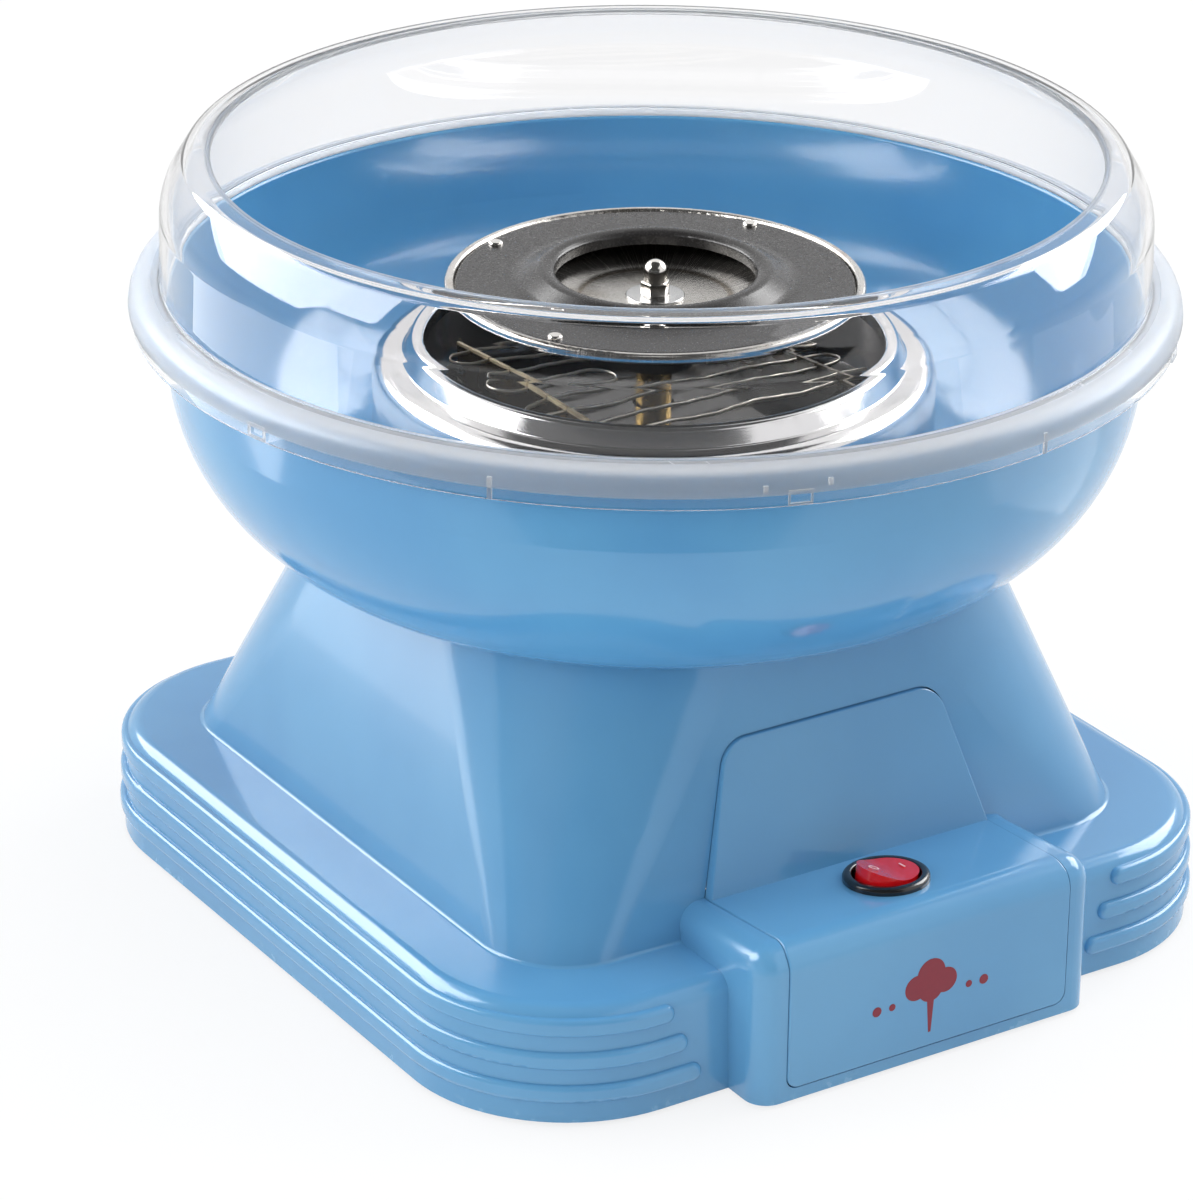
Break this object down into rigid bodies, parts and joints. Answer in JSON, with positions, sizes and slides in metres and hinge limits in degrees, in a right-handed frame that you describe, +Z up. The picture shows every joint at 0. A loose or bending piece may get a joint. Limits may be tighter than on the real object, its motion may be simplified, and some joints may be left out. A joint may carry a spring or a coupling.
{
  "type": "table-top cotton candy machine",
  "caption": "Electric table-top cotton candy machine: square pedestal base with a switch box, lift-out bowl, clear splash guard and a heated spinning head.",
  "frame": {"origin": "on the table plane under the axis of the spinning head", "axes": "+Z up, -Y towards the switch box (front), +X to the right as the user faces it from the front"},
  "size_m": [0.28, 0.28, 0.2107],
  "materials": {
    "body_plastic": "gloss moulded",
    "cover_plastic": "gloss moulded",
    "bowl_plastic": "gloss moulded",
    "clear_plastic": "clear, lightly frosted lip",
    "foot_rubber": "matte",
    "black_plastic": "satin",
    "red_plastic": "gloss",
    "tin_contacts": "tinned",
    "pan_metal": "mirror polished",
    "plate_metal": "mirror polished",
    "shield_metal": "plain sheet",
    "ceramic": "glazed ceramic",
    "cutout_case": "matte",
    "resistance_alloy": "annealed ribbon",
    "mica": "silvery brown sheet",
    "motor_steel": "zinc plated",
    "bearing_bronze": "sintered",
    "magnet": "ferrite",
    "carbon": "matte",
    "steel_screw": "zinc plated",
    "shaft_steel": "ground",
    "copper": "copper",
    "sleeve_brass": "turned",
    "cup_steel": "radially brushed",
    "disc_black": "satin black",
    "bright_steel": "bright"
  },
  "bodies": {
    "base": {"housing": "body_plastic", "control_cover": "cover_plastic", "bottom_plate": "body_plastic", "rubber_feet": "foot_rubber", "switch_body": "black_plastic", "switch_terminals": "tin_contacts", "pan": "pan_metal", "lower_spacers": "ceramic", "upper_spacers": "ceramic", "heat_shield": "shield_metal", "heater_plate": "plate_metal", "thermal_cutout": "cutout_case", "heating_ribbon": "resistance_alloy", "mica_strip_left": "mica", "mica_strip_right": "mica", "motor_case": "motor_steel", "motor_end_cap": "motor_steel", "motor_bracket": "shield_metal", "lower_bearing": "bearing_bronze", "upper_bearing": "bearing_bronze", "field_magnets": "magnet", "brush_holders": "black_plastic", "carbon_brushes": "carbon", "cord_bush": "black_plastic", "base_screws": "steel_screw", "cover_screws": "steel_screw", "pan_screws": "steel_screw", "bracket_screws": "steel_screw", "motor_screws": "steel_screw"},
    "head": {"motor_shaft": "shaft_steel", "armature_core": "shaft_steel", "armature_windings": "copper", "commutator": "copper", "drive_sleeve": "sleeve_brass", "cooling_fan": "black_plastic", "head_cup": "cup_steel", "head_disc": "disc_black", "head_rivets": "bright_steel", "washer": "shaft_steel", "cap_nut": "bright_steel"},
    "rocker": {"switch_rocker": "red_plastic"},
    "bowl": {"bowl": "bowl_plastic"},
    "guard": {"splash_guard": "clear_plastic"}
  },
  "joints": [
    {"name": "head_spin", "type": "hinge", "parent": "base", "child": "head", "pos_m": [0, 0, 0.168], "axis": [0, 0, 1], "continuous": true},
    {"name": "rocker_tilt", "type": "hinge", "parent": "base", "child": "rocker", "pos_m": [0, -0.113, 0.0441], "axis": [0, 0.9971, -0.0767], "range_deg": [-20, 0]},
    {"name": "bowl_lift", "type": "slide", "parent": "base", "child": "bowl", "axis": [0, 0, 1], "range_m": [0, 0.12]},
    {"name": "guard_lift", "type": "slide", "parent": "bowl", "child": "guard", "axis": [0, 0, 1], "range_m": [0, 0.08]}
  ]
}
